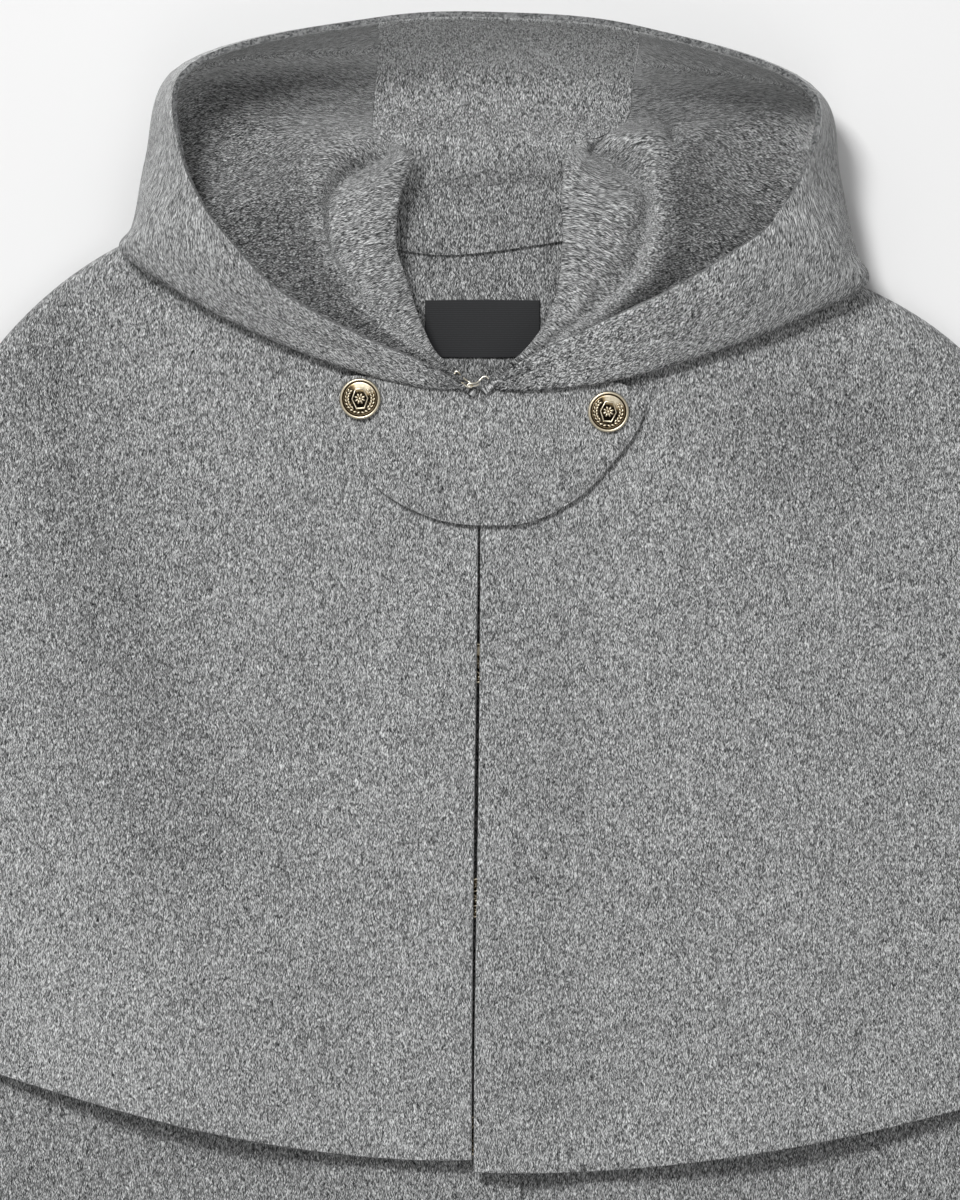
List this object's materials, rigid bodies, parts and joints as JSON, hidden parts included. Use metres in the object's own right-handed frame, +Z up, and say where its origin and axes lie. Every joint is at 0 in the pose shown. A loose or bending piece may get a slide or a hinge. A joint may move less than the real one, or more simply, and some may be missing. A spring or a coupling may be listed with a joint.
{
  "type": "wool cape coat",
  "caption": "Hooded wool coat with a shoulder capelet over a long buttoned layer, a half-moon throat tab and gold buttons, laid flat with the hood turned down.",
  "frame": {"origin": "centre of the bounding box, on the surface that the garment lies on", "axes": "+X to the wearer's left, +Y towards the hood, +Z up from the surface, out of the front"},
  "size_m": [0.7922, 0.946, 0.054],
  "materials": {
    "hood_centre": "brushed heathered wool",
    "hood_side_right": "brushed heathered wool",
    "hood_side_left": "brushed heathered wool",
    "hood_bag": "brushed heathered wool",
    "neck_band": "brushed heathered wool",
    "capelet_front_right": "brushed heathered wool",
    "capelet_front_left": "brushed heathered wool",
    "capelet_back": "brushed heathered wool",
    "coat_front_right": "brushed heathered wool",
    "coat_front_left": "brushed heathered wool",
    "coat_back": "brushed heathered wool",
    "throat_tab": "brushed heathered wool",
    "label": "plain black woven tape",
    "tab_button_right": "antique gold",
    "tab_button_left": "antique gold",
    "coat_button_1": "antique gold",
    "coat_button_2": "antique gold",
    "coat_button_3": "antique gold",
    "coat_button_4": "antique gold",
    "coat_button_5": "antique gold",
    "hook": "antique gold",
    "eye": "antique gold"
  },
  "bodies": {
    "root": {"hood_centre": "hood_centre", "hood_side_right": "hood_side_right", "hood_side_left": "hood_side_left", "hood_bag": "hood_bag", "neck_band": "neck_band", "capelet_front_right": "capelet_front_right", "capelet_front_left": "capelet_front_left", "capelet_back": "capelet_back", "coat_front_right": "coat_front_right", "coat_front_left": "coat_front_left", "coat_back": "coat_back", "throat_tab": "throat_tab", "label": "label", "tab_button_right": "tab_button_right", "tab_button_left": "tab_button_left", "coat_button_1": "coat_button_1", "coat_button_2": "coat_button_2", "coat_button_3": "coat_button_3", "coat_button_4": "coat_button_4", "coat_button_5": "coat_button_5", "hook": "hook", "eye": "eye"}
  },
  "joints": []
}
